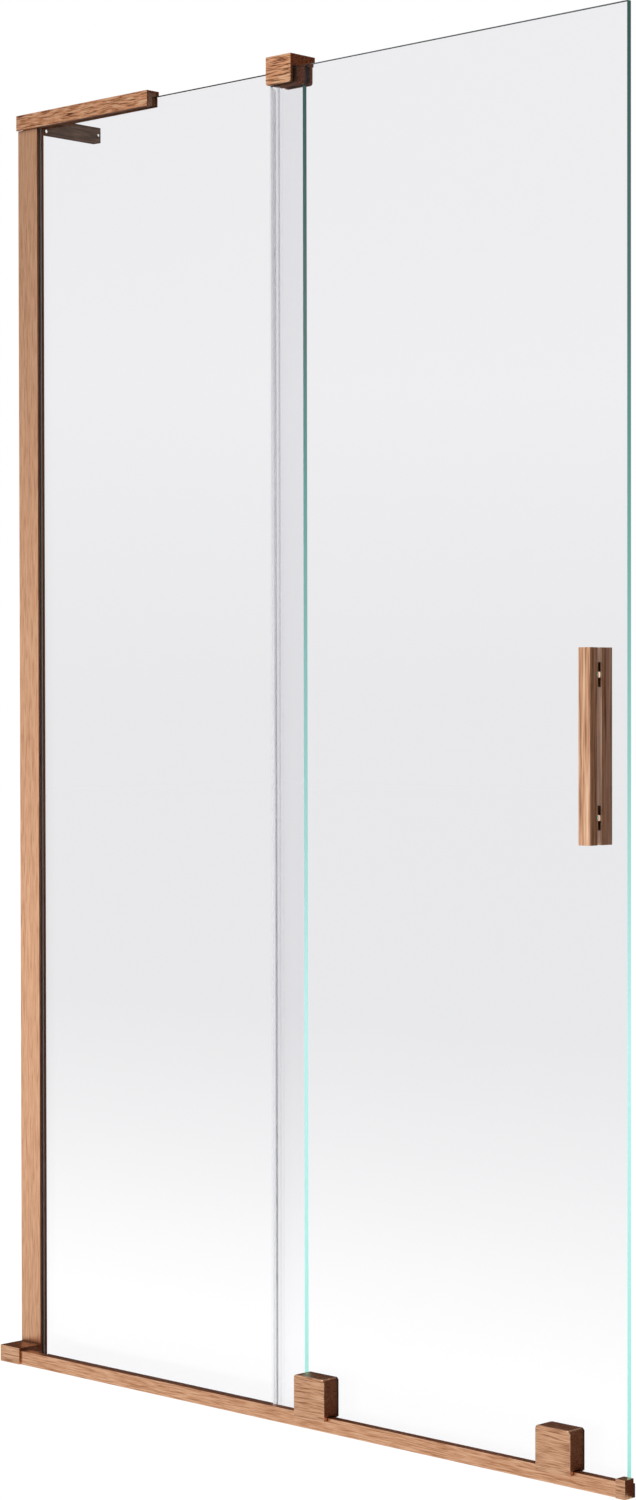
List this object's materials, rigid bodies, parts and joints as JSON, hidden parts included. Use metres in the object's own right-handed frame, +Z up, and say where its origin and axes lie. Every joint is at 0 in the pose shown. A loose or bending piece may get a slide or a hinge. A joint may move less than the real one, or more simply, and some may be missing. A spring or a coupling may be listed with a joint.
{
  "type": "sliding bath screen",
  "caption": "Frameless glass bath screen: a fixed pane in a copper-coloured wall profile and a sliding pane that rolls on a low rail and is guided by a clamp at the top.",
  "frame": {"origin": "centre of the wall profile's screw line, on the face that lies on the wall", "axes": "+X away from the wall along the rail, +Y towards the bath side behind the panes, +Z up"},
  "size_m": [0.9577, 0.1727, 1.511],
  "materials": {
    "copper": "brushed, copper-coloured",
    "glass": "clear, polished edges",
    "clear_plastic": "translucent",
    "bronze_plastic": "satin",
    "pale_plastic": "satin",
    "gasket_rubber": "matte",
    "black_rubber": "matte",
    "roller_plastic": "satin",
    "steel": "brushed"
  },
  "bodies": {
    "screen_frame": {"bottom_rail": "copper", "fixed_glass": "glass", "fixed_glass_foot_seal": "clear_plastic", "front_gasket": "gasket_rubber", "guide_housing": "copper", "guide_liner": "bronze_plastic", "guide_pads": "gasket_rubber", "guide_screws": "steel", "rail_back_lip": "black_rubber", "rail_end_cap": "copper", "rail_wall_block": "copper", "rear_gasket": "gasket_rubber", "top_rail": "copper", "top_rail_liner": "bronze_plastic", "wall_arm": "copper", "wall_profile": "copper"},
    "sliding_panel": {"sliding_glass": "glass", "edge_seal": "clear_plastic", "carriage_left": "copper", "carriage_right": "copper", "carriage_pads": "black_rubber", "carriage_axles": "steel", "axle_spacers": "steel", "glass_bolts": "copper", "bolt_washers": "black_rubber", "bolt_sleeves": "pale_plastic", "handle_front": "copper", "handle_rear": "copper", "handle_pads": "gasket_rubber", "handle_bolts": "steel", "handle_sleeves": "pale_plastic"},
    "left_wheel": {"roller_left": "roller_plastic", "bearing_left": "steel"},
    "right_wheel": {"roller_right": "roller_plastic", "bearing_right": "steel"}
  },
  "joints": [
    {"name": "panel_slide", "type": "slide", "parent": "screen_frame", "child": "sliding_panel", "axis": [1, 0, 0], "range_m": [-0.395, 0]},
    {"name": "left_wheel_turn", "type": "hinge", "parent": "sliding_panel", "child": "left_wheel", "pos_m": [0.5225, -0.0376, -0.71665], "axis": [0, 1, 0], "range_deg": [-1890, 5]},
    {"name": "right_wheel_turn", "type": "hinge", "parent": "sliding_panel", "child": "right_wheel", "pos_m": [0.8672, -0.0376, -0.71665], "axis": [0, 1, 0], "range_deg": [-1890, 5]}
  ],
  "couplings": [
    {"joint": "left_wheel_turn", "follows": "panel_slide", "rad_per_m": 83.333},
    {"joint": "right_wheel_turn", "follows": "panel_slide", "rad_per_m": 83.333}
  ]
}
